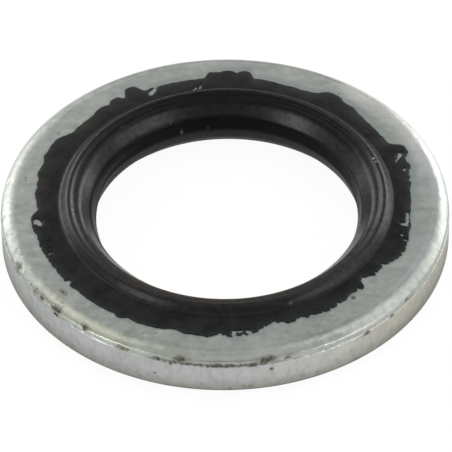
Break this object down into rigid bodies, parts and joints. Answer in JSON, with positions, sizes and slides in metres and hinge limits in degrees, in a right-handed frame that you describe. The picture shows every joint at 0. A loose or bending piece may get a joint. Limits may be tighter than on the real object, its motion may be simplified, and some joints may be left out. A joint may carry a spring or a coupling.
{
  "type": "bonded sealing washer",
  "caption": "Flat steel ring with a rubber sealing lip moulded into its bore and a torn skin of rubber flash on its upper face; it seals a joint under a bolt head.",
  "frame": {"origin": "on the washer's axis, in the plane it rests on, which touches the crest of its lower lip", "axes": "+Z is the axis and points to the face with the rolled edge and the rubber flash; +X and +Y lie in the washer's plane"},
  "size_m": [0.018, 0.018, 0.0025],
  "materials": {
    "zinc_steel": "dull zinc plating, scuffed, with small pits along the rolled edge",
    "nitrile_rubber": "moulded, satin on the flash and glossy on the cone of the lip"
  },
  "bodies": {
    "root": {"steel_ring": "zinc_steel", "rubber_seal": "nitrile_rubber"}
  },
  "joints": []
}
